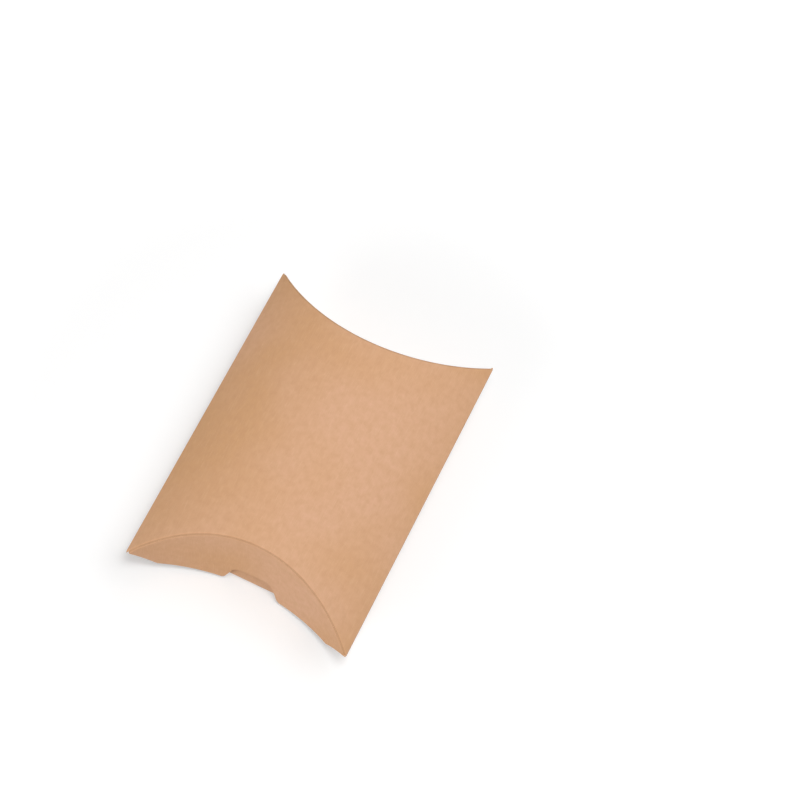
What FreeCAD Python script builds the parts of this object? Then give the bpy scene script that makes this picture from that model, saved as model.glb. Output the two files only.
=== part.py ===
import FreeCAD
import Part
import math
import os

# A pillow box, folded from one die-cut piece of kraft board and glued along its left side.
# Two bowed panels meet along straight side creases. At each end a curved crease lets an outer flap
# with a thumb notch fold down over a plain inner flap.
# Lengths are in millimetres. X runs across the box, Y along it with the front end at -Y, and Z is up
# from the surface that the box rests on. Sizes of panels and flaps are those of the board's middle.

# Panels
box_length = 92.5  # from corner to corner along a side crease
box_width = 64.0  # between the two side creases
crown_rise = 11.3  # middle of the top panel above the side creases
rest_width = 12.0  # flat band along the bottom panel, on which the box rests
board = 0.5  # thickness of the kraft board
fold_clearance = 0.1  # gap that keeps the pieces at a crease apart

# End flaps
crease_inset = 13.3  # middle of an end crease, measured in from the corners
flap_gap = 0.5  # between a shut outer flap and the inner flap behind it
outer_flap_lift = 0.8  # free edge of an outer flap above the surface
free_edge_bow = 4.0  # middle of an outer flap's free edge, measured out from its ends
outer_tip_relief = 1.5  # from a corner to the slanted end of an outer flap, across the box
flap_end_angle = 45.0  # slant of an outer flap's ends to the box's length, in degrees
inner_tip_relief = 4.0  # board left off at each end of an inner flap
inner_headroom = 2.4  # free edge of an inner flap below the top panel

# Thumb notch
notch_width = 16.0  # at the free edge
notch_top_width = 10.5
notch_depth = 6.5
notch_corner_radius = 2.6  # at the two inner corners
notch_mouth_radius = 1.6  # where the notch meets the free edge

# Glued seam
glue_flap_width = 9.0
glue_flap_inset = 8.0  # end of the glue flap, measured in from the end crease
glue_width = 6.0
glue_film = 0.1  # thickness of the dried glue
glue_inset = 3.0  # end of the glue, measured in from the end of the glue flap

# Both panels are creased alike, so the bottom one bows as far down as the top one bows up
half_length = box_length / 2
half_width = box_width / 2
half_board = board / 2
belly_drop = crown_rise
side_height = half_board + belly_drop

# Curve of the top panel: one arc from side crease to side crease
crown_radius = (half_width**2 + crown_rise**2) / (2 * crown_rise)
crown_angle = math.asin(half_width / crown_radius)
crown_center = side_height + crown_rise - crown_radius

# Curve of the bottom panel: a flat band between two arcs
half_rest = rest_width / 2
belly_run = half_width - half_rest
belly_radius = (belly_run**2 + belly_drop**2) / (2 * belly_drop)
belly_angle = math.asin(belly_run / belly_radius)
belly_center = half_board + belly_radius

# The pieces stop short of a side crease by side_trim, and the end creases stop short by corner_trim
side_trim = half_board / math.sin((crown_angle + belly_angle) / 2) + fold_clearance
corner_trim = board + fold_clearance

# An end crease lies in a slanted plane through the two corners, and the shut flap is the panel's own
# curve mirrored in that plane. The inner flap stands parallel to the outer one, so its slope is inverse.
outer_slope = crease_inset / crown_rise
inner_slope = 1 / outer_slope
lean = math.atan((outer_slope**2 - 1) / (2 * outer_slope))
inner_setback = (board + flap_gap) / math.cos(max(crown_angle, belly_angle))
front_corner = FreeCAD.Vector(0, -half_length, side_height)
inner_corner = front_corner + FreeCAD.Vector(0, inner_setback, 0)
outer_normal = FreeCAD.Vector(0, -1, outer_slope).normalize()
inner_normal = FreeCAD.Vector(0, -1, -inner_slope).normalize()
outer_trim = half_board / (outer_normal.z * math.cos(crown_angle)) + fold_clearance
inner_trim = half_board / (-inner_normal.z * math.cos(belly_angle)) + fold_clearance

# The flat outer flap ends at a second slanted plane, which bows its free edge, and its two ends are slanted
outer_depth = (side_height + crown_rise - outer_flap_lift) / math.cos(lean)
end_depth = outer_depth - crease_inset - free_edge_bow
free_edge_slope = free_edge_bow / crown_rise
free_edge_end = front_corner - FreeCAD.Vector(0, end_depth, 0)
free_edge_normal = FreeCAD.Vector(0, -1, -free_edge_slope).normalize()
flap_end = FreeCAD.Vector(half_width - outer_tip_relief, -half_length, 0)
flap_end_slant = math.radians(flap_end_angle)
flap_end_normal = FreeCAD.Vector(math.cos(flap_end_slant), -math.sin(flap_end_slant), 0)

# A strip that runs past the ends of the unfolded flaps, and a block that is larger than the box
unfolded_half = half_length + crown_rise + belly_drop
reach = 2 * (box_length + box_width)


def left_meeting(height_a, radius_a, x_b, height_b, radius_b):
    """The left point that two circles share, the first one centred on the YZ plane."""
    across = FreeCAD.Vector(x_b, 0, height_b - height_a)
    apart = across.Length
    along = (radius_a**2 - radius_b**2 + apart**2) / (2 * apart)
    aside = math.sqrt(radius_a**2 - along**2)
    across.normalize()
    sideways = FreeCAD.Vector(across.z, 0, -across.x)
    foot = FreeCAD.Vector(0, 0, height_a) + across * along
    ends = [foot + sideways * aside, foot - sideways * aside]
    return min(ends, key=lambda end: end.x)


# The seam crease lies where the glue flap's curve meets the bottom panel's curve
glue_flap_radius = crown_radius - board - glue_film
seam = left_meeting(crown_center, glue_flap_radius, -half_rest, belly_center, belly_radius)
seam_crown_angle = math.atan2(-seam.x, seam.z - crown_center)
seam_belly_angle = math.atan2(-half_rest - seam.x, belly_center - seam.z)


def beyond(point, outward):
    """All that lies past a plane, as one large block."""
    block = Part.makeBox(reach, reach, reach, FreeCAD.Vector(-reach / 2, -reach / 2, 0))
    block.Placement = FreeCAD.Placement(point, FreeCAD.Rotation(FreeCAD.Vector(0, 0, 1), outward))
    return block


def mirrored(shape):
    """The same piece at the rear end."""
    return shape.mirror(FreeCAD.Vector(0, 0, 0), FreeCAD.Vector(0, 1, 0))


def run_along(outline):
    """A section in the XZ plane, run along the box and on to the ends of the unfolded flaps."""
    face = Part.Face(Part.Wire(outline))
    face.translate(FreeCAD.Vector(0, -unfolded_half, 0))
    return face.extrude(FreeCAD.Vector(0, 2 * unfolded_half, 0))


def arc_through(place, radius, start, stop):
    """An arc between two angles on a curve whose points place() gives."""
    middle = (start + stop) / 2
    return Part.Arc(place(radius, start), place(radius, middle), place(radius, stop)).toShape()


def crown_place(radius, angle):
    """A point over the box, at an angle from upright that grows to the right."""
    return FreeCAD.Vector(radius * math.sin(angle), 0, crown_center + radius * math.cos(angle))


def left_belly_place(radius, angle):
    """A point on the bottom panel's left arc, at an angle from straight down."""
    across = half_rest + radius * math.sin(angle)
    return FreeCAD.Vector(-across, 0, belly_center - radius * math.cos(angle))


def right_belly_place(radius, angle):
    """A point on the bottom panel's right arc, at an angle from straight down."""
    point = left_belly_place(radius, angle)
    return FreeCAD.Vector(-point.x, 0, point.z)


def crown_strip(outside, inside, left, right):
    """A strip on the top panel's curve, between two radii and two angles."""
    outer = arc_through(crown_place, outside, left, right)
    inner = arc_through(crown_place, inside, left, right)
    left_end = Part.makeLine(crown_place(inside, left), crown_place(outside, left))
    right_end = Part.makeLine(crown_place(outside, right), crown_place(inside, right))
    return run_along([outer, right_end, inner, left_end])


def belly_strip(left, right):
    """The bottom panel's curve as a strip of board, up to an angle on each side."""
    outside = belly_radius + half_board
    inside = belly_radius - half_board
    outline = [
        arc_through(left_belly_place, outside, left, 0),
        Part.makeLine(left_belly_place(outside, 0), right_belly_place(outside, 0)),
        arc_through(right_belly_place, outside, 0, right),
        Part.makeLine(right_belly_place(outside, right), right_belly_place(inside, right)),
        arc_through(right_belly_place, inside, right, 0),
        Part.makeLine(right_belly_place(inside, 0), left_belly_place(inside, 0)),
        arc_through(left_belly_place, inside, 0, left),
        Part.makeLine(left_belly_place(inside, left), left_belly_place(outside, left)),
    ]
    return run_along(outline)


def cut_both_ends(shape, point, outward):
    """A panel cut off at a plane at its front end and at the same plane at its rear end."""
    past_front = beyond(point, outward)
    return shape.cut([past_front, mirrored(past_front)])


def make_top_panel():
    """Its right edge stops at the fold, and its left edge is the raw edge over the seam."""
    right = crown_angle - side_trim / crown_radius
    strip = crown_strip(crown_radius + half_board, crown_radius - half_board, -crown_angle, right)
    return cut_both_ends(strip, front_corner - outer_normal * outer_trim, outer_normal)


def make_bottom_panel():
    """Both of its edges stop at a side crease."""
    left = seam_belly_angle - side_trim / belly_radius
    right = belly_angle - side_trim / belly_radius
    strip = belly_strip(left, right)
    return cut_both_ends(strip, inner_corner - inner_normal * inner_trim, inner_normal)


def make_side_crease(x, z, half):
    """A straight fold, as thick as the board and rounded."""
    start = FreeCAD.Vector(x, -half, z)
    return Part.makeCylinder(half_board, 2 * half, start, FreeCAD.Vector(0, 1, 0))


def make_glue_flap():
    """The strip of board that is folded in under the top panel's left edge."""
    left = seam_crown_angle - side_trim / glue_flap_radius
    right = left - glue_flap_width / glue_flap_radius
    outside = glue_flap_radius + half_board
    strip = crown_strip(outside, glue_flap_radius - half_board, -left, -right)
    end = front_corner + FreeCAD.Vector(0, glue_flap_inset, 0)
    return cut_both_ends(strip, end, outer_normal)


def make_glue_line():
    """The film of glue that fills the gap between the glue flap and the top panel."""
    margin = (glue_flap_width - glue_width) / 2
    left = seam_crown_angle - (side_trim + margin) / glue_flap_radius
    right = left - glue_width / glue_flap_radius
    outside = crown_radius - half_board
    strip = crown_strip(outside, outside - glue_film, -left, -right)
    end = front_corner + FreeCAD.Vector(0, glue_flap_inset + glue_inset, 0)
    return cut_both_ends(strip, end, outer_normal)


def crease_arc(center, downhill, sideways, start, stop):
    """Part of the oval along which a slanted plane cuts a panel's curve."""
    oval = Part.Ellipse(center + downhill, center + sideways, center)
    return Part.ArcOfEllipse(oval, start, stop).toShape()


def make_bead(path):
    """A fold along a curved crease, as thick as the board and rounded."""
    spine = Part.Wire(Part.sortEdges(path)[0])
    first = spine.OrderedEdges[0]
    start = spine.OrderedVertexes[0].Point
    heading = first.tangentAt(first.Curve.parameter(start))
    ring = Part.Wire(Part.makeCircle(half_board, start, heading))
    return spine.makePipeShell([ring], True, True)


def make_outer_crease():
    """The curved fold between the top panel and the front outer flap."""
    drop = side_height - crown_center
    center = FreeCAD.Vector(0, front_corner.y - outer_slope * drop, crown_center)
    downhill = FreeCAD.Vector(0, outer_slope * crown_radius, crown_radius)
    sideways = FreeCAD.Vector(crown_radius, 0, 0)
    stop = crown_angle - corner_trim / crown_radius
    return make_bead([crease_arc(center, downhill, sideways, -stop, stop)])


def make_inner_crease():
    """The curved fold between the bottom panel and the front inner flap."""
    rise = belly_center - side_height
    center_y = inner_corner.y - inner_slope * rise
    downhill = FreeCAD.Vector(0, inner_slope * belly_radius, -belly_radius)
    path = []
    flat_ends = []
    for side, end_angle in ((-1, seam_belly_angle), (1, belly_angle)):
        center = FreeCAD.Vector(side * half_rest, center_y, belly_center)
        sideways = FreeCAD.Vector(side * belly_radius, 0, 0)
        stop = end_angle - corner_trim / belly_radius
        path.append(crease_arc(center, downhill, sideways, 0, stop))
        flat_ends.append(center + downhill)
    path.append(Part.makeLine(*flat_ends))
    return make_bead(path)


def free_edge_height(x):
    """Height of a shut outer flap's free edge at a distance from its middle."""
    rise = math.sqrt(crown_radius**2 - x**2) + crown_center - side_height
    depth = end_depth + (outer_slope + free_edge_slope) * rise
    return side_height + rise - depth * math.cos(lean)


def edges_along_box(shape, places):
    """The edges of a block that run along Y at the given places in X and Z."""
    found = []
    for edge in shape.Edges:
        ends = [vertex.Point for vertex in edge.Vertexes]
        for x, z in places:
            if all(math.hypot(end.x - x, end.z - z) < fold_clearance for end in ends):
                found.append(edge)
    return found


def make_notch():
    """The block that is cut out of an outer flap's free edge for a thumb."""
    mouth = free_edge_height(notch_width / 2)
    top = mouth + notch_depth
    low = mouth - notch_depth
    mouth_half = notch_width / 2
    top_half = notch_top_width / 2
    flare = mouth_half + notch_mouth_radius
    right = [(flare, low), (flare, mouth), (mouth_half, mouth), (top_half, top)]
    left = [(-x, z) for x, z in reversed(right)]
    corners = [FreeCAD.Vector(x, 0, z) for x, z in right + left]
    block = run_along(Part.makePolygon(corners + corners[:1]).Edges)
    inner = edges_along_box(block, [(top_half, top), (-top_half, top)])
    block = block.makeFillet(notch_corner_radius, inner)
    outer = edges_along_box(block, [(mouth_half, mouth), (-mouth_half, mouth)])
    return block.makeFillet(notch_mouth_radius, outer)


def make_outer_flap():
    """Cut from the top panel's curve as if flat, folded down over the end, then notched."""
    strip = crown_strip(crown_radius + half_board, crown_radius - half_board, -crown_angle, crown_angle)
    flat = strip.common(beyond(front_corner + outer_normal * outer_trim, outer_normal))
    past_right = beyond(flap_end, flap_end_normal)
    past_left = past_right.mirror(FreeCAD.Vector(0, 0, 0), FreeCAD.Vector(1, 0, 0))
    flat = flat.cut([beyond(free_edge_end, free_edge_normal), past_left, past_right])
    shut = flat.mirror(front_corner, outer_normal)
    return shut.cut(make_notch())


def make_inner_flap():
    """Carried on from the bottom panel's curve, folded up, then cut clear of the top panel."""
    left = seam_belly_angle - inner_tip_relief / belly_radius
    right = belly_angle - inner_tip_relief / belly_radius
    flat = belly_strip(left, right).common(beyond(inner_corner + inner_normal * inner_trim, inner_normal))
    shut = flat.mirror(inner_corner, inner_normal)
    start = FreeCAD.Vector(0, -unfolded_half, crown_center - inner_headroom)
    room = Part.makeCylinder(crown_radius - half_board, unfolded_half, start, FreeCAD.Vector(0, 1, 0))
    return shut.common(room)


def single_solid(shape):
    """The one solid in a shape, with faces that lie on the same surface joined."""
    solid, = shape.Solids
    return solid.removeSplitter()


pieces = {
    "top_panel": make_top_panel(),
    "bottom_panel": make_bottom_panel(),
    "fold_side_crease": make_side_crease(half_width, side_height, half_length),
    "seam_side_crease": make_side_crease(seam.x, seam.z, half_length - inner_setback),
    "glue_flap": make_glue_flap(),
    "glue_line": make_glue_line(),
}
end_pieces = {
    "outer_flap": make_outer_flap(),
    "outer_crease": make_outer_crease(),
    "inner_flap": make_inner_flap(),
    "inner_crease": make_inner_crease(),
}
for name, front in end_pieces.items():
    pieces["front_" + name] = front
    pieces["rear_" + name] = mirrored(front)

os.makedirs("parts", exist_ok=True)
for name, shape in pieces.items():
    single_solid(shape).exportStep(f"parts/{name}.step")
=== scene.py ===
import math

import bmesh
import bpy
from mathutils import Matrix, Vector
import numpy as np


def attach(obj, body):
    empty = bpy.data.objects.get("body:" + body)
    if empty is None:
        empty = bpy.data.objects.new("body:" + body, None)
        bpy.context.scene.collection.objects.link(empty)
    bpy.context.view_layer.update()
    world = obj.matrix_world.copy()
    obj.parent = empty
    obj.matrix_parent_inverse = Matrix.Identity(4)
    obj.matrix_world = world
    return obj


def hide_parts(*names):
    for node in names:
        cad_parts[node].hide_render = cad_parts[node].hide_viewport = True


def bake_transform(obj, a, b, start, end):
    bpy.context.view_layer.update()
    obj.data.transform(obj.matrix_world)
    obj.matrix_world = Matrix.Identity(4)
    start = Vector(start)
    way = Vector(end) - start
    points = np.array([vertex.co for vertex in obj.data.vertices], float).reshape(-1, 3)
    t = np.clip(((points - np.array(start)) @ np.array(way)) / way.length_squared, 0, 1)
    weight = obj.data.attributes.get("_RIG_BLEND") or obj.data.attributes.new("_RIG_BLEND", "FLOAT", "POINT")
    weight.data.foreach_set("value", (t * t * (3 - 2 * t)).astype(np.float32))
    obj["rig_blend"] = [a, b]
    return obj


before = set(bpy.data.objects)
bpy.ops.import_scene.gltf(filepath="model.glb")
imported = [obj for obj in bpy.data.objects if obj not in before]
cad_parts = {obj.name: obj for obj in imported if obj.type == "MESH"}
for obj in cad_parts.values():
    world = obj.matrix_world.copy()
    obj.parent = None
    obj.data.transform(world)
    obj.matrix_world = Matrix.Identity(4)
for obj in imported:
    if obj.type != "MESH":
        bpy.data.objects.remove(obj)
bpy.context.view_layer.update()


# Top of the blank
# A bowed panel with an outer flap at each end is one sheet of brown kraft carton board, half a millimetre thick.
# It is die-cut flat and scored along two curved lines. Folding the flaps down springs the panel into its bow.
mm = 0.001
half_length = 46.25 * mm
half_width = 32 * mm
board = 0.5 * mm
rise = 11.3 * mm
crease_inset = 13.3 * mm  # middle of an end crease, in from the tips
side_trim = 0.467 * mm  # left to the bend along each side
fold_reach = 0.6 * mm  # of a rounded fold, from its crease
side_height = rise + board / 2
crown_radius = (half_width**2 + rise**2) / (2 * rise)
crown_angle = math.asin(half_width / crown_radius)
crown_center = side_height + rise - crown_radius
crease_slope = crease_inset / rise
lean = math.atan((crease_slope**2 - 1) / (2 * crease_slope))


def edit_alone(piece):
    """Opens one piece in edit mode, with nothing else selected."""
    bpy.ops.object.select_all(action="DESELECT")
    bpy.context.view_layer.objects.active = piece
    piece.select_set(True)
    bpy.ops.object.mode_set(mode="EDIT")


def pick(piece, kind, test):
    """Selects, in edit mode, only the points, edges or faces that pass a test."""
    bpy.ops.mesh.select_mode(type=kind)
    bpy.ops.mesh.select_all(action="DESELECT")
    mesh = bmesh.from_edit_mesh(piece.data)
    for part in {"VERT": mesh.verts, "EDGE": mesh.edges, "FACE": mesh.faces}[kind]:
        if test(part):
            part.select_set(True)
    mesh.select_flush_mode()
    bmesh.update_edit_mesh(piece.data)


def side_edge(name, x, z, half):
    """Starts a sheet from one straight edge along the box, which is all that is left of a plane."""
    bpy.ops.object.select_all(action="DESELECT")
    bpy.ops.mesh.primitive_plane_add(size=2 * half, location=(x + half, 0, z))
    piece = bpy.context.object
    piece.name = piece.data.name = name
    bpy.ops.object.transform_apply()
    edit_alone(piece)
    pick(piece, "VERT", lambda point: point.co.x > x + half)
    bpy.ops.mesh.delete(type="VERT")
    bpy.ops.mesh.select_all(action="SELECT")
    return piece


def map_sheet(piece, across):
    """Gives a sheet its flat coordinates in millimetres, so that its fibres follow it round the folds."""
    mesh = bmesh.from_edit_mesh(piece.data)
    sheet = mesh.loops.layers.uv.new("sheet")
    for face in mesh.faces:
        for loop in face.loops:
            loop[sheet].uv = (across(loop.vert.co) / mm, loop.vert.co.y / mm)
    bmesh.update_edit_mesh(piece.data)


flap_reach = 10 * mm  # of the flat sheet past the tips, before its ends are cut
top = side_edge("kraft_top_panel", -half_width, side_height, half_length + flap_reach)
top_end = crown_angle - side_trim / crown_radius
bpy.ops.mesh.spin(steps=96, angle=crown_angle + top_end, center=(0, 0, crown_center), axis=(0, -1, 0))
map_sheet(top, lambda point: crown_radius * math.asin(point.x / crown_radius))


def middle_of(part):
    return sum((corner.co for corner in part.verts), Vector()) / len(part.verts)


def beyond(place, outward):
    """A test for the faces that lie past a plane."""
    return lambda face: (middle_of(face) - place).dot(outward) > 0


def marked(mark):
    """A test for the faces that are marked as one flap."""
    return lambda face: face.material_index == mark


def cut_off(piece, chosen, place, outward):
    """Cuts the chosen faces along a plane and drops what lies past it."""
    pick(piece, "FACE", chosen)
    bpy.ops.mesh.bisect(plane_co=place, plane_no=outward.normalized())
    past = beyond(place, outward)
    pick(piece, "FACE", lambda face: chosen(face) and past(face))
    bpy.ops.mesh.delete(type="FACE")


def fold_over(piece, corner, crease_normal, mark):
    """Folds a sheet over a curved crease, which mirrors and marks what lies past the plane of that crease."""
    pick(piece, "FACE", beyond(corner, crease_normal))
    mesh = bmesh.from_edit_mesh(piece.data)
    for face in mesh.faces:
        if face.select:
            face.material_index = mark
    side = Vector((1, 0, 0))
    bpy.ops.transform.resize(
        value=(1, 1, -1),
        orient_type="GLOBAL",
        orient_matrix_type="GLOBAL",
        orient_matrix=(side, crease_normal.cross(side), crease_normal),
        constraint_axis=(False, False, True),
        center_override=corner,
    )


def round_fold(piece, corner, crease_normal, mark):
    """Rounds the fold along a crease, as board bends, and marks its ridge for a darker line: fibres pressed by the
    score, and painted shade of its groove.
    """

    def on_crease(edge):
        return edge.is_manifold and all(abs((p.co - corner).dot(crease_normal)) < 0.001 * mm for p in edge.verts)

    pick(piece, "EDGE", on_crease)
    bpy.ops.mesh.bevel(offset=fold_reach, segments=16, affect="EDGES", clamp_overlap=False)
    mesh = bmesh.from_edit_mesh(piece.data)
    # Weights for the darker score line along the ridge, fading off to each side: pressed fibres and painted shade of
    # the score's groove.
    score = mesh.verts.layers.float.get("score") or mesh.verts.layers.float.new("score")
    ring = {p for p in mesh.verts if len({face.material_index == mark for face in p.link_faces}) == 2}
    for depth in (1.0, 0.9, 0.7, 0.4):
        for point in ring:
            point[score] = max(point[score], depth)
        ring = {edge.other_vert(point) for point in ring for edge in point.link_edges}
    bmesh.update_edit_mesh(piece.data)


def add_rows(piece, corner, crease_normal, mark, count):
    """Divides a flap into rows along its crease, fine enough for it to bend."""
    first, pitch = 0.3 * mm, 0.85 * mm
    for row in range(1, count):
        pick(piece, "FACE", marked(mark))
        place = corner - crease_normal * (first + pitch * row)
        bpy.ops.mesh.bisect(plane_co=place, plane_no=crease_normal)


flap_lift = 0.8 * mm  # a shut flap, off the table
flap_depth = (side_height + rise - flap_lift) / math.cos(lean)
free_edge_bow = 4 * mm
flap_end = 31.7 * mm
blunt = 0.25 * mm  # taken off the points of a flap
ends = {"front": -1, "rear": 1}
outer_creases = {}
for mark, (end, way) in enumerate(ends.items(), 1):
    corner = Vector((0, way * half_length, side_height))
    crease_normal = Vector((0, way, crease_slope)).normalized()
    outer_creases[end] = corner, crease_normal
    bpy.ops.mesh.select_all(action="SELECT")
    bpy.ops.mesh.bisect(plane_co=corner, plane_no=crease_normal)
    free_edge = corner + Vector((0, way * (flap_depth - crease_inset - free_edge_bow), 0))
    cut_off(top, beyond(corner, crease_normal), free_edge, Vector((0, way, -free_edge_bow / rise)))
    fold_over(top, corner, crease_normal, mark)
    round_fold(top, corner, crease_normal, mark)
    for side in (-1, 1):
        slant = Vector((side, way, 0)).normalized()
        slant -= 2 * slant.dot(crease_normal) * crease_normal
        cut_off(top, marked(mark), corner + Vector((side * flap_end, 0, 0)), slant)
        cut_off(top, marked(mark), Vector((side * (flap_end - blunt), 0, 0)), Vector((side, 0, 0)))
    add_rows(top, corner, crease_normal, mark, 17)


def runs_along(edge):
    """True for the long edges of a panel, from one crease to the other."""
    return abs(edge.verts[0].co.y - edge.verts[1].co.y) > 30 * mm


pick(top, "EDGE", runs_along)
bpy.ops.mesh.subdivide(number_cuts=119)


def press(piece, first, last, depth, reach):
    """Presses a sheet in along a line, softly, as thin board buckles beside a fold."""

    def on_line(point):
        along = (point.co - first).dot(last - first) / (last - first).length_squared
        return 0 < along < 1 and (first.lerp(last, along) - point.co).length < 0.5 * mm

    pick(piece, "VERT", on_line)
    bpy.ops.transform.translate(
        value=(0, 0, -depth),
        use_proportional_edit=True,
        proportional_edit_falloff="SMOOTH",
        proportional_size=reach,
    )


def on_panel(x, y):
    """A point of the top panel, from its place in millimetres."""
    return Vector((x * mm, y * mm, crown_center + math.sqrt(crown_radius**2 - (x * mm) ** 2)))


# Faint buckles run in from the near right tip, where the fold is tightest. Their ends are in millimetres.
buckles = (((23.7, -30), (24.1, -36)), ((24.6, -34), (28.1, -37.4)), ((22, -35), (24.5, -37.8)))
for first, last in buckles:
    press(top, on_panel(*first), on_panel(*last), 0.2 * mm, 1.1 * mm)
bpy.ops.object.mode_set(mode="OBJECT")


def part_flap(piece, mark, name):
    """Parts a flap from its sheet along the ridge of its fold."""
    edit_alone(piece)
    pick(piece, "FACE", marked(mark))
    bpy.ops.mesh.separate(type="SELECTED")
    bpy.ops.object.mode_set(mode="OBJECT")
    flap = next(other for other in bpy.context.selected_objects if other is not piece)
    flap.name = flap.data.name = name
    for polygon in flap.data.polygons:
        polygon.material_index = 0
    return flap


outer_flaps = {end: part_flap(top, mark, f"kraft_{end}_outer_flap") for mark, end in enumerate(ends, 1)}


def linear(code):
    """A colour written as sRGB hex, as the linear values that Blender uses."""
    parts = [int(code[i : i + 2], 16) / 255 for i in (1, 3, 5)]
    return [p / 12.92 if p <= 0.04045 else ((p + 0.055) / 1.055) ** 2.4 for p in parts] + [1.0]


def add(tree, kind, settings=None, links=None):
    """Adds a node, gives it its settings and input values, and links its inputs to other nodes' outputs."""
    made = tree.nodes.new("ShaderNode" + kind)
    for name, value in (settings or {}).items():
        if isinstance(name, int) or name in made.inputs:
            made.inputs[name].default_value = value
        else:
            setattr(made, name, value)
    for name, output in (links or {}).items():
        tree.links.new(output, made.inputs[name])
    return made


def start_material(name):
    """A new material, with its node tree and its shader."""
    material = bpy.data.materials.new(name)
    material.use_nodes = True
    return material, material.node_tree, material.node_tree.nodes["Principled BSDF"]


def place_in_mm(tree):
    """A point's place on its piece, in millimetres."""
    place = add(tree, "TexCoord").outputs["Object"]
    return add(tree, "Mapping", {"Scale": (1000, 1000, 1000)}, {"Vector": place}).outputs["Vector"]


# Uncoated brown kraft carton board: long unbleached wood fibres, pressed and left matt. The eye sees a warm tan with
# soft cloudy patches where fibres lie thicker, faint streaks along the sheet and a few dark bark specks.
kraft, tree, shader = start_material("uncoated_kraft_board")
shader.inputs["IOR"].default_value = 1.5
sheet_mm = add(tree, "UVMap", {"uv_map": "sheet"}).outputs["UV"]
# Cloudy patches in the pulp, about 40 mm across, pinker and yellower. They are shifted so that the darker, yellower
# tone lies on the left and the pinker tone on the right. That placement is painted shade, darker on the box's left
# side, laid over the pulp's own random patches.
patches_shifted_for_painted_shade = add(tree, "Mapping", {"Location": (209, -159, 0)}, {"Vector": sheet_mm})
patches = add(tree, "TexNoise", {"Scale": 1 / 40, "Detail": 2.0}, {"Vector": patches_shifted_for_painted_shade.outputs["Vector"]})
cloud = add(tree, "MapRange", {"From Min": 0.35, "From Max": 0.65}, {"Value": patches.outputs["Fac"]})
tone = add(tree, "Mix", {"data_type": "RGBA", 6: linear("#D2A174"), 7: linear("#DBAC8A")}, {0: cloud.outputs["Result"]})
# Clumps of fibres in the sheet, about 2 mm
clumps = add(tree, "TexNoise", {"Scale": 1 / 2, "Detail": 5.0, "Roughness": 0.6}, {"Vector": sheet_mm})
spread = add(tree, "MapRange", {"From Min": 0.3, "From Max": 0.7, "To Max": 0.5}, {"Value": clumps.outputs["Fac"]})
tone = add(tree, "Mix", {"data_type": "RGBA", 7: linear("#C99870")}, {0: spread.outputs["Result"], 6: tone.outputs[2]})
# Fibres are 0.03 mm wide and 3 mm long. They are drawn six times as wide, so that they show.
along = add(tree, "Mapping", {"Scale": (1 / 0.18, 1 / 3, 1.0)}, {"Vector": sheet_mm})
fibres = add(
    tree,
    "TexNoise",
    {"Scale": 1.0, "Detail": 3.0, "Roughness": 0.6, "Distortion": 0.8},
    {"Vector": along.outputs["Vector"]},
)
streaks = add(tree, "MapRange", {"From Min": 0.5, "From Max": 0.8, "To Max": 0.4}, {"Value": fibres.outputs["Fac"]})
tone = add(tree, "Mix", {"data_type": "RGBA", 7: linear("#E6C09C")}, {0: streaks.outputs["Result"], 6: tone.outputs[2]})
# Bark specks about 0.3 mm across, one to each 9 mm or so
specks = add(tree, "TexVoronoi", {"Scale": 1 / 9}, {"Vector": sheet_mm})
speck = add(
    tree,
    "MapRange",
    {"From Min": 0.012, "From Max": 0.022, "To Min": 0.45, "To Max": 0.0},
    {"Value": specks.outputs["Distance"]},
)
tone = add(tree, "Mix", {"data_type": "RGBA", 7: linear("#8A6342")}, {0: speck.outputs["Result"], 6: tone.outputs[2]})
# The score has pressed the fibres along the ridge of a fold. This darker line is also painted shade, of the score's
# groove, which the mesh does not have.
score = add(tree, "Attribute", {"attribute_name": "score"})
pressed_fibres_and_painted_shade = add(tree, "MapRange", {"To Max": 0.55}, {"Value": score.outputs["Fac"]})
tone = add(tree, "Mix", {"data_type": "RGBA", 7: linear("#A3764F")}, {0: pressed_fibres_and_painted_shade.outputs["Result"], 6: tone.outputs[2]})
tree.links.new(tone.outputs[2], shader.inputs["Base Color"])
matt = add(tree, "MapRange", {"To Min": 0.82, "To Max": 0.94}, {"Value": clumps.outputs["Fac"]})
tree.links.new(matt.outputs["Result"], shader.inputs["Roughness"])
grain = add(tree, "Mix", {0: 0.5}, {2: clumps.outputs["Fac"], 3: fibres.outputs["Fac"]})
bump = add(tree, "Bump", {"Strength": 0.3, "Distance": 0.02 * mm}, {"Height": grain.outputs[0]})
tree.links.new(bump.outputs["Normal"], shader.inputs["Normal"])

# The die-cut edge of the board: torn fibre ends, paler and rougher than the face, in thin layers along the sheet.
cut_edge, tree, shader = start_material("die_cut_board_edge")
shader.inputs["Roughness"].default_value = 0.95
shader.inputs["IOR"].default_value = 1.5
# Torn fibre ends, drawn at 0.4 mm so that they show
torn = add(tree, "TexNoise", {"Scale": 1 / 0.4, "Detail": 3.0}, {"Vector": place_in_mm(tree)})
tone = add(tree, "Mix", {"data_type": "RGBA", 6: linear("#DDB48F"), 7: linear("#EFCFB0")}, {0: torn.outputs["Fac"]})
tree.links.new(tone.outputs[2], shader.inputs["Base Color"])
bump = add(tree, "Bump", {"Strength": 0.4, "Distance": 0.04 * mm}, {"Height": torn.outputs["Fac"]})
tree.links.new(bump.outputs["Normal"], shader.inputs["Normal"])


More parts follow.
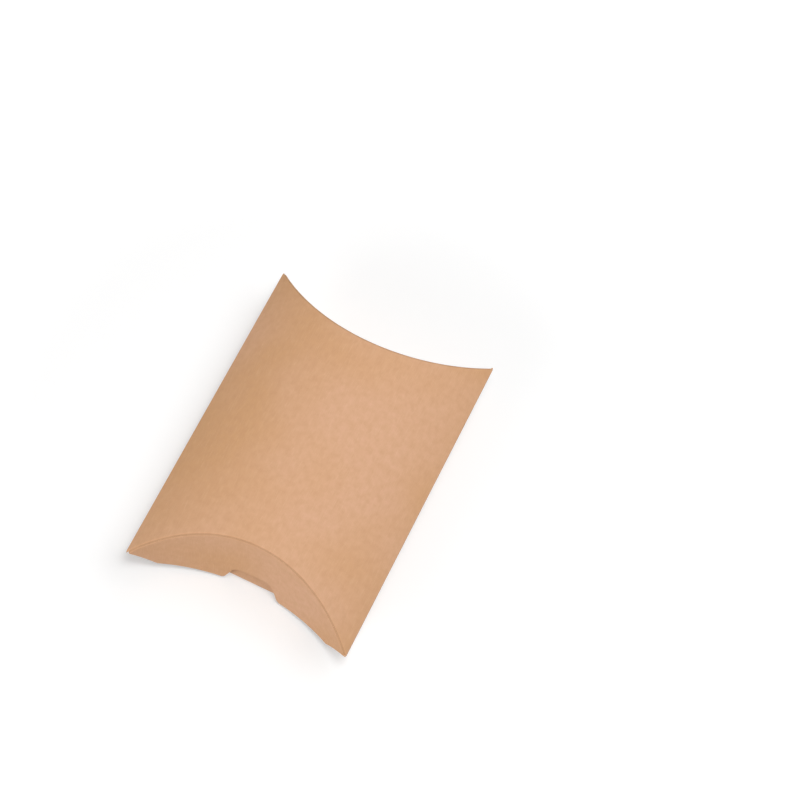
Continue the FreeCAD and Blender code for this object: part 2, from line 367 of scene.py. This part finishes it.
def thicken(piece):
    """Gives a sheet the board's thickness, with pale cut edges, and smooths its faces."""
    bpy.ops.object.select_all(action="DESELECT")
    bpy.context.view_layer.objects.active = piece
    piece.select_set(True)
    piece.data.materials.clear()
    piece.data.materials.append(kraft)
    piece.data.materials.append(cut_edge)
    wall = piece.modifiers.new("board", "SOLIDIFY")
    wall.thickness = board
    wall.offset = 0
    wall.use_even_offset = True
    wall.material_offset_rim = 1
    bpy.ops.object.modifier_apply(modifier=wall.name)
    bpy.ops.object.shade_smooth_by_angle(angle=math.radians(40))


thicken(top)
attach(top, "carton")
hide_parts("top_panel")


# Outer flaps
# Each closes one end of the box and has a thumb notch in its free edge. It is the same sheet as the top panel,
# and its scored crease is its only hinge.
bpy.ops.object.select_all(action="DESELECT")
bpy.ops.mesh.primitive_circle_add(vertices=8, radius=10 * mm, fill_type="NGON")
cutter = bpy.context.object
cutter.name = "notch_cutter"
edit_alone(cutter)
# Half of the notch in millimetres, seen from the end: below the flap, along its free edge, and up to the notch's top.
mouth, crest = 1.12, 7.6
right_half = [(9.6, -6), (9.6, mouth), (8, mouth), (5.25, crest)]
outline = right_half + [(-x, z) for x, z in reversed(right_half)]
past_ends = half_length + 13.75 * mm
mesh = bmesh.from_edit_mesh(cutter.data)
for point, (x, z) in zip(next(iter(mesh.faces)).verts, outline):
    point.co = (x * mm, -past_ends, z * mm)
bmesh.update_edit_mesh(cutter.data)
for height, offset in ((crest, 1.8), (mouth, 1.0)):
    pick(cutter, "VERT", lambda p: abs(p.co.z - height * mm) < 0.01 * mm and abs(p.co.x) < 9 * mm)
    bpy.ops.mesh.bevel(offset=offset * mm, segments=8, affect="VERTICES")
bpy.ops.mesh.select_all(action="SELECT")
bpy.ops.mesh.extrude_region_move(TRANSFORM_OT_translate={"value": (0, 2 * past_ends, 0)})
bpy.ops.mesh.select_all(action="SELECT")
bpy.ops.mesh.normals_make_consistent(inside=False)
bpy.ops.object.mode_set(mode="OBJECT")


def cut_with(piece, tool, operation):
    """Cuts a thick piece with a solid tool, which leaves pale cut edges."""
    tool.data.materials.clear()
    tool.data.materials.append(kraft)
    tool.data.materials.append(cut_edge)
    for polygon in tool.data.polygons:
        polygon.material_index = 1
    bpy.ops.object.select_all(action="DESELECT")
    bpy.context.view_layer.objects.active = piece
    piece.select_set(True)
    cut = piece.modifiers.new("cut", "BOOLEAN")
    cut.object = tool
    cut.operation = operation
    cut.solver = "EXACT"
    bpy.ops.object.modifier_apply(modifier=cut.name)
    bpy.ops.object.shade_smooth_by_angle(angle=math.radians(40))


bend_start, bend_run = 0.4 * mm, 4 * mm  # from the crease, of the part of a flap that bends
for end, flap in outer_flaps.items():
    thicken(flap)
    cut_with(flap, cutter, "DIFFERENCE")
    corner, crease_normal = outer_creases[end]
    start = corner - crease_normal * bend_start
    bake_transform(flap, "carton", f"{end}_outer", start, start - crease_normal * bend_run)
    # Board unfolds over a curved crease into the panel's own curve, so a point's share of the turn is its angle from
    # the plane of the crease, seen along the hinge, over that angle at the middle of the flap.
    hinge = Vector((0, ends[end] * (half_length - crease_inset), side_height + rise))
    downhill = (corner - hinge).normalized()
    full = math.atan2(abs(crease_normal.y), abs(downhill.y))
    for point, share in zip(flap.data.vertices, flap.data.attributes["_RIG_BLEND"].data):
        unfolded = point.co - 2 * (point.co - corner).dot(crease_normal) * crease_normal
        turn = math.atan2(unfolded.x, unfolded.z - crown_center)
        reach = Vector((0, unfolded.y, crown_center + crown_radius * math.cos(turn))) - hinge
        past = reach.dot(crease_normal)
        fade = min(max((past - 0.3 * mm) / (0.8 * mm), 0), 1)  # none of it at the crease itself
        share.value = fade * math.atan2(past, reach.dot(downhill)) / full
    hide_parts(f"{end}_outer_flap", f"{end}_outer_crease")
bpy.data.objects.remove(cutter)


# Bottom of the blank
# The lower panel bows down as far as the top one bows up, with a flat band along its middle that the box rests on.
# It is the same sheet of board, with an inner flap at each end.
half_rest = 6 * mm
belly_run = half_width - half_rest
belly_radius = (belly_run**2 + rise**2) / (2 * rise)
belly_angle = math.asin(belly_run / belly_radius)
belly_center = board / 2 + belly_radius
seam_x, seam_z = -31.59 * mm, 11.11 * mm  # where the bottom panel and the glue flap would meet
left_end = math.atan2(-half_rest - seam_x, belly_center - seam_z) - side_trim / belly_radius
right_end = belly_angle - side_trim / belly_radius
inner_setback = 1.466 * mm  # keeps the inner flaps clear of the outer ones
left_x = -half_rest - belly_radius * math.sin(left_end)
left_z = belly_center - belly_radius * math.cos(left_end)
inner_reach = 25 * mm  # of the flat sheet past the tips
bottom = side_edge("kraft_bottom_panel", left_x, left_z, half_length + inner_reach)
bpy.ops.mesh.spin(steps=40, angle=left_end, center=(-half_rest, 0, belly_center), axis=(0, 1, 0))
pick(bottom, "VERT", lambda point: point.co.x > -half_rest - 0.01 * mm)
for step in range(8):
    bpy.ops.mesh.extrude_region_move(TRANSFORM_OT_translate={"value": (half_rest / 4, 0, 0)})
bpy.ops.mesh.spin(steps=40, angle=right_end, center=(half_rest, 0, belly_center), axis=(0, 1, 0))


def belly_across(point):
    """Distance across the bottom panel, along its curve."""
    past = abs(point.x) - half_rest
    if past <= 0:
        return point.x
    return math.copysign(half_rest + belly_radius * math.asin(past / belly_radius), point.x)


map_sheet(bottom, belly_across)
inner_creases = {}
for mark, (end, way) in enumerate(ends.items(), 1):
    corner = Vector((0, way * (half_length - inner_setback), side_height))
    crease_normal = Vector((0, way, -1 / crease_slope)).normalized()
    inner_creases[end] = corner, crease_normal
    bpy.ops.mesh.select_all(action="SELECT")
    bpy.ops.mesh.bisect(plane_co=corner, plane_no=crease_normal)
    fold_over(bottom, corner, crease_normal, mark)
    round_fold(bottom, corner, crease_normal, mark)
    for side, reach in ((-1, 28.8 * mm), (1, 29.2 * mm)):
        cut_off(bottom, marked(mark), Vector((side * reach, 0, 0)), Vector((side, 0, 0)))
    add_rows(bottom, corner, crease_normal, mark, 20)

pick(bottom, "EDGE", runs_along)
bpy.ops.mesh.subdivide(number_cuts=23)
bpy.ops.object.mode_set(mode="OBJECT")
inner_flaps = {end: part_flap(bottom, mark, f"kraft_{end}_inner_flap") for mark, end in enumerate(ends, 1)}
thicken(bottom)
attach(bottom, "carton")
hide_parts("bottom_panel")


# Inner flaps
# Each stands up behind an outer flap, folded from the bottom panel, and can be pushed inwards.
# Its free edge is cut to follow the top panel, a little below it.
headroom = 2.4 * mm
bpy.ops.object.select_all(action="DESELECT")
bpy.ops.mesh.primitive_cylinder_add(
    vertices=360,
    radius=crown_radius - board / 2,
    depth=3 * half_length,
    location=(0, 0, crown_center - headroom),
    rotation=(math.pi / 2, 0, 0),
)
room = bpy.context.object
bpy.ops.object.transform_apply()
for end, flap in inner_flaps.items():
    thicken(flap)
    cut_with(flap, room, "INTERSECT")
    corner, crease_normal = inner_creases[end]
    start = corner - crease_normal * bend_start
    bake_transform(flap, "carton", f"{end}_inner", start, start - crease_normal * bend_run)
    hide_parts(f"{end}_inner_flap", f"{end}_inner_crease")
bpy.data.objects.remove(room)


# Side folds
# On the right the two panels are one sheet, bent at a scored line. On the left the bottom panel bends in the same way
# into the glue flap, and the raw edge of the top panel lies over that bend.
def every(face):
    """A test that every face passes."""
    return True


def fold_strip(name, start, arrival, turn, inward):
    """A bend between two edges that run along the box, as a strip of an arc that leaves the first edge smoothly."""
    radius = (start - arrival).length / (2 * math.sin(turn / 2))
    piece = side_edge(name, start.x, start.z, half_length)
    center = start + inward * radius
    bpy.ops.mesh.spin(steps=10, angle=turn, center=center, axis=(0, -1, 0))
    map_sheet(piece, lambda point: point.z)
    tip_relief = 0.5 * mm
    for way in ends.values():
        cut_off(piece, every, Vector((0, way * (half_length - tip_relief), side_height)), Vector((0, way, -2)))
    bpy.ops.object.mode_set(mode="OBJECT")
    thicken(piece)
    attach(piece, "carton")
    return piece


def on_crown(radius, angle):
    """A point on a circle about the top panel's axis."""
    return Vector((radius * math.sin(angle), 0, crown_center + radius * math.cos(angle)))


right_x = half_rest + belly_radius * math.sin(right_end)
right_z = belly_center - belly_radius * math.cos(right_end)
fold_side = fold_strip(
    "kraft_fold_side",
    on_crown(crown_radius, top_end),
    Vector((right_x, 0, right_z)),
    math.pi - top_end - right_end,
    Vector((-math.sin(top_end), 0, -math.cos(top_end))),
)
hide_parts("fold_side_crease")
glue_film = 0.1 * mm
glue_radius = crown_radius - board - glue_film
glue_end = math.atan2(-seam_x, seam_z - crown_center) - side_trim / glue_radius
seam_side = fold_strip(
    "kraft_seam_side",
    Vector((left_x, 0, left_z)),
    on_crown(glue_radius, -glue_end),
    math.pi - glue_end - left_end,
    Vector((math.sin(left_end), 0, math.cos(left_end))),
)
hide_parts("seam_side_crease")


# Glued seam
# The glue flap runs along the inside of the top panel's left edge. A film of carton glue holds the two together.
glue_flap_width = 9 * mm
glue_flap_inset = 8 * mm  # of its slanted ends, from the tips
glue_start = on_crown(glue_radius, -glue_end)
glue_flap = side_edge("kraft_glue_flap", glue_start.x, glue_start.z, half_length)
bpy.ops.mesh.spin(steps=12, angle=glue_flap_width / glue_radius, center=(0, 0, crown_center), axis=(0, -1, 0))
map_sheet(glue_flap, lambda point: crown_radius * math.asin(point.x / crown_radius))
for way in ends.values():
    slant_start = Vector((0, way * (half_length - glue_flap_inset), side_height))
    cut_off(glue_flap, every, slant_start, Vector((0, way, crease_slope)))
bpy.ops.object.mode_set(mode="OBJECT")
thicken(glue_flap)
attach(glue_flap, "carton")
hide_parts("glue_flap")

# Dried carton glue, a water-based vinyl: it dries to a clear, slightly yellow film with a soft gloss and tiny bubbles.
glue, tree, shader = start_material("dried_carton_glue")
shader.inputs["Roughness"].default_value = 0.35
shader.inputs["IOR"].default_value = 1.47
# Bubbles about 0.6 mm across
bubbles = add(tree, "TexNoise", {"Scale": 1 / 0.6, "Detail": 2.0}, {"Vector": place_in_mm(tree)})
tone = add(tree, "Mix", {"data_type": "RGBA", 6: linear("#D8CBA6"), 7: linear("#E9E0C4")}, {0: bubbles.outputs["Fac"]})
tree.links.new(tone.outputs[2], shader.inputs["Base Color"])
bump = add(tree, "Bump", {"Strength": 0.3, "Distance": 0.02 * mm}, {"Height": bubbles.outputs["Fac"]})
tree.links.new(bump.outputs["Normal"], shader.inputs["Normal"])
glue_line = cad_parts["glue_line"]
glue_line.data.materials.clear()
glue_line.data.materials.append(glue)


# Stage
# The box stands on a sheet of white paper, lit by four soft lamps, in front of white.
# What the camera sees of paper and surroundings is lifted to white there, and the lamps light the box alone.
bpy.ops.object.select_all(action="DESELECT")
bpy.ops.mesh.primitive_plane_add(size=3, location=(0, 0, -0.1 * mm))
floor = bpy.context.object
floor.name = "floor"


def seen_directly(tree):
    """One for what the camera sees itself or in gloss or glass, and none for light that falls on the box."""
    rays = add(tree, "LightPath").outputs
    seen = add(tree, "Math", {"operation": "ADD"}, {0: rays["Is Camera Ray"], 1: rays["Is Glossy Ray"]})
    return add(tree, "Math", {"operation": "ADD"}, {0: seen.outputs[0], 1: rays["Is Transmission Ray"]}).outputs[0]


paper, tree, shader = start_material("white_backdrop_paper")
shader.inputs["Base Color"].default_value = linear("#D0D0D0")
shader.inputs["Roughness"].default_value = 1.0
# The lift grows away from the box, so that its shadow stays.
span = add(tree, "VectorMath", {"operation": "LENGTH"}, {0: add(tree, "TexCoord").outputs["Object"]})
lift = add(
    tree,
    "MapRange",
    {"From Min": 0.08, "From Max": 0.4, "To Min": 0.4, "To Max": 1.0},
    {"Value": span.outputs["Value"]},
)
lift = add(tree, "Math", {"operation": "MULTIPLY"}, {0: seen_directly(tree), 1: lift.outputs["Result"]})
shader.inputs["Emission Color"].default_value = (1, 1, 1, 1)
tree.links.new(lift.outputs[0], shader.inputs["Emission Strength"])
floor.data.materials.append(paper)

world = bpy.context.scene.world or bpy.data.worlds.new("world")
bpy.context.scene.world = world
world.use_nodes = True
tree = world.node_tree
tree.nodes["Background"].inputs["Color"].default_value = (1, 1, 1, 1)
glow = add(tree, "MapRange", {"To Min": 0.06, "To Max": 1.0}, {"Value": seen_directly(tree)})
tree.links.new(glow.outputs["Result"], tree.nodes["Background"].inputs["Strength"])

# Lamps: name, place in metres, size in metres, power in watts
lamps = (
    ("key", (0.34, 0.2, 0.6), 0.5, 1.8),
    ("back", (0.1, 0.5, 0.5), 0.5, 0.9),
    ("top", (0.12, -0.1, 0.7), 0.2, 2.3),
    ("front", (-0.28, -0.56, 0.18), 0.4, 2.2),
)
for name, spot, size, power in lamps:
    lamp = bpy.data.lights.new(name, "AREA")
    lamp.size = size
    lamp.energy = power
    stand = bpy.data.objects.new(name, lamp)
    bpy.context.scene.collection.objects.link(stand)
    stand.matrix_world = Matrix.Translation(spot) @ Vector(spot).to_track_quat("Z", "Y").to_matrix().to_4x4()


# Camera
# It looks down on the near end from the right, slightly rolled, with a long lens.
# The middle of the box, at the height of its sides, falls on the given pixel of a picture 800 pixels square.
azimuth, elevation, roll = (math.radians(a) for a in (17.12, 65.69, 9.12))
back = Vector((math.sin(azimuth), -math.cos(azimuth), math.tan(elevation))).normalized()
level = Vector((math.cos(azimuth), math.sin(azimuth), 0))
upright = back.cross(level)
right = level * math.cos(roll) + upright * math.sin(roll)
up = upright * math.cos(roll) - level * math.sin(roll)
distance = 643.5 * mm
focal = 2400  # in pixels
picture = 800
across, down = 313.72, 458.79
camera_data = bpy.data.cameras.new("camera")
camera_data.sensor_width = 36
camera_data.lens = focal * camera_data.sensor_width / picture
camera_data.clip_start = 0.01
camera = bpy.data.objects.new("camera", camera_data)
bpy.context.scene.collection.objects.link(camera)
place = Vector((0, 0, side_height)) + back * distance
place += (right * (picture / 2 - across) + up * (down - picture / 2)) * distance / focal
camera.matrix_world = Matrix.Translation(place) @ Matrix((right, up, back)).transposed().to_4x4()
bpy.context.scene.camera = camera
bpy.context.scene.view_settings.view_transform = "Standard"
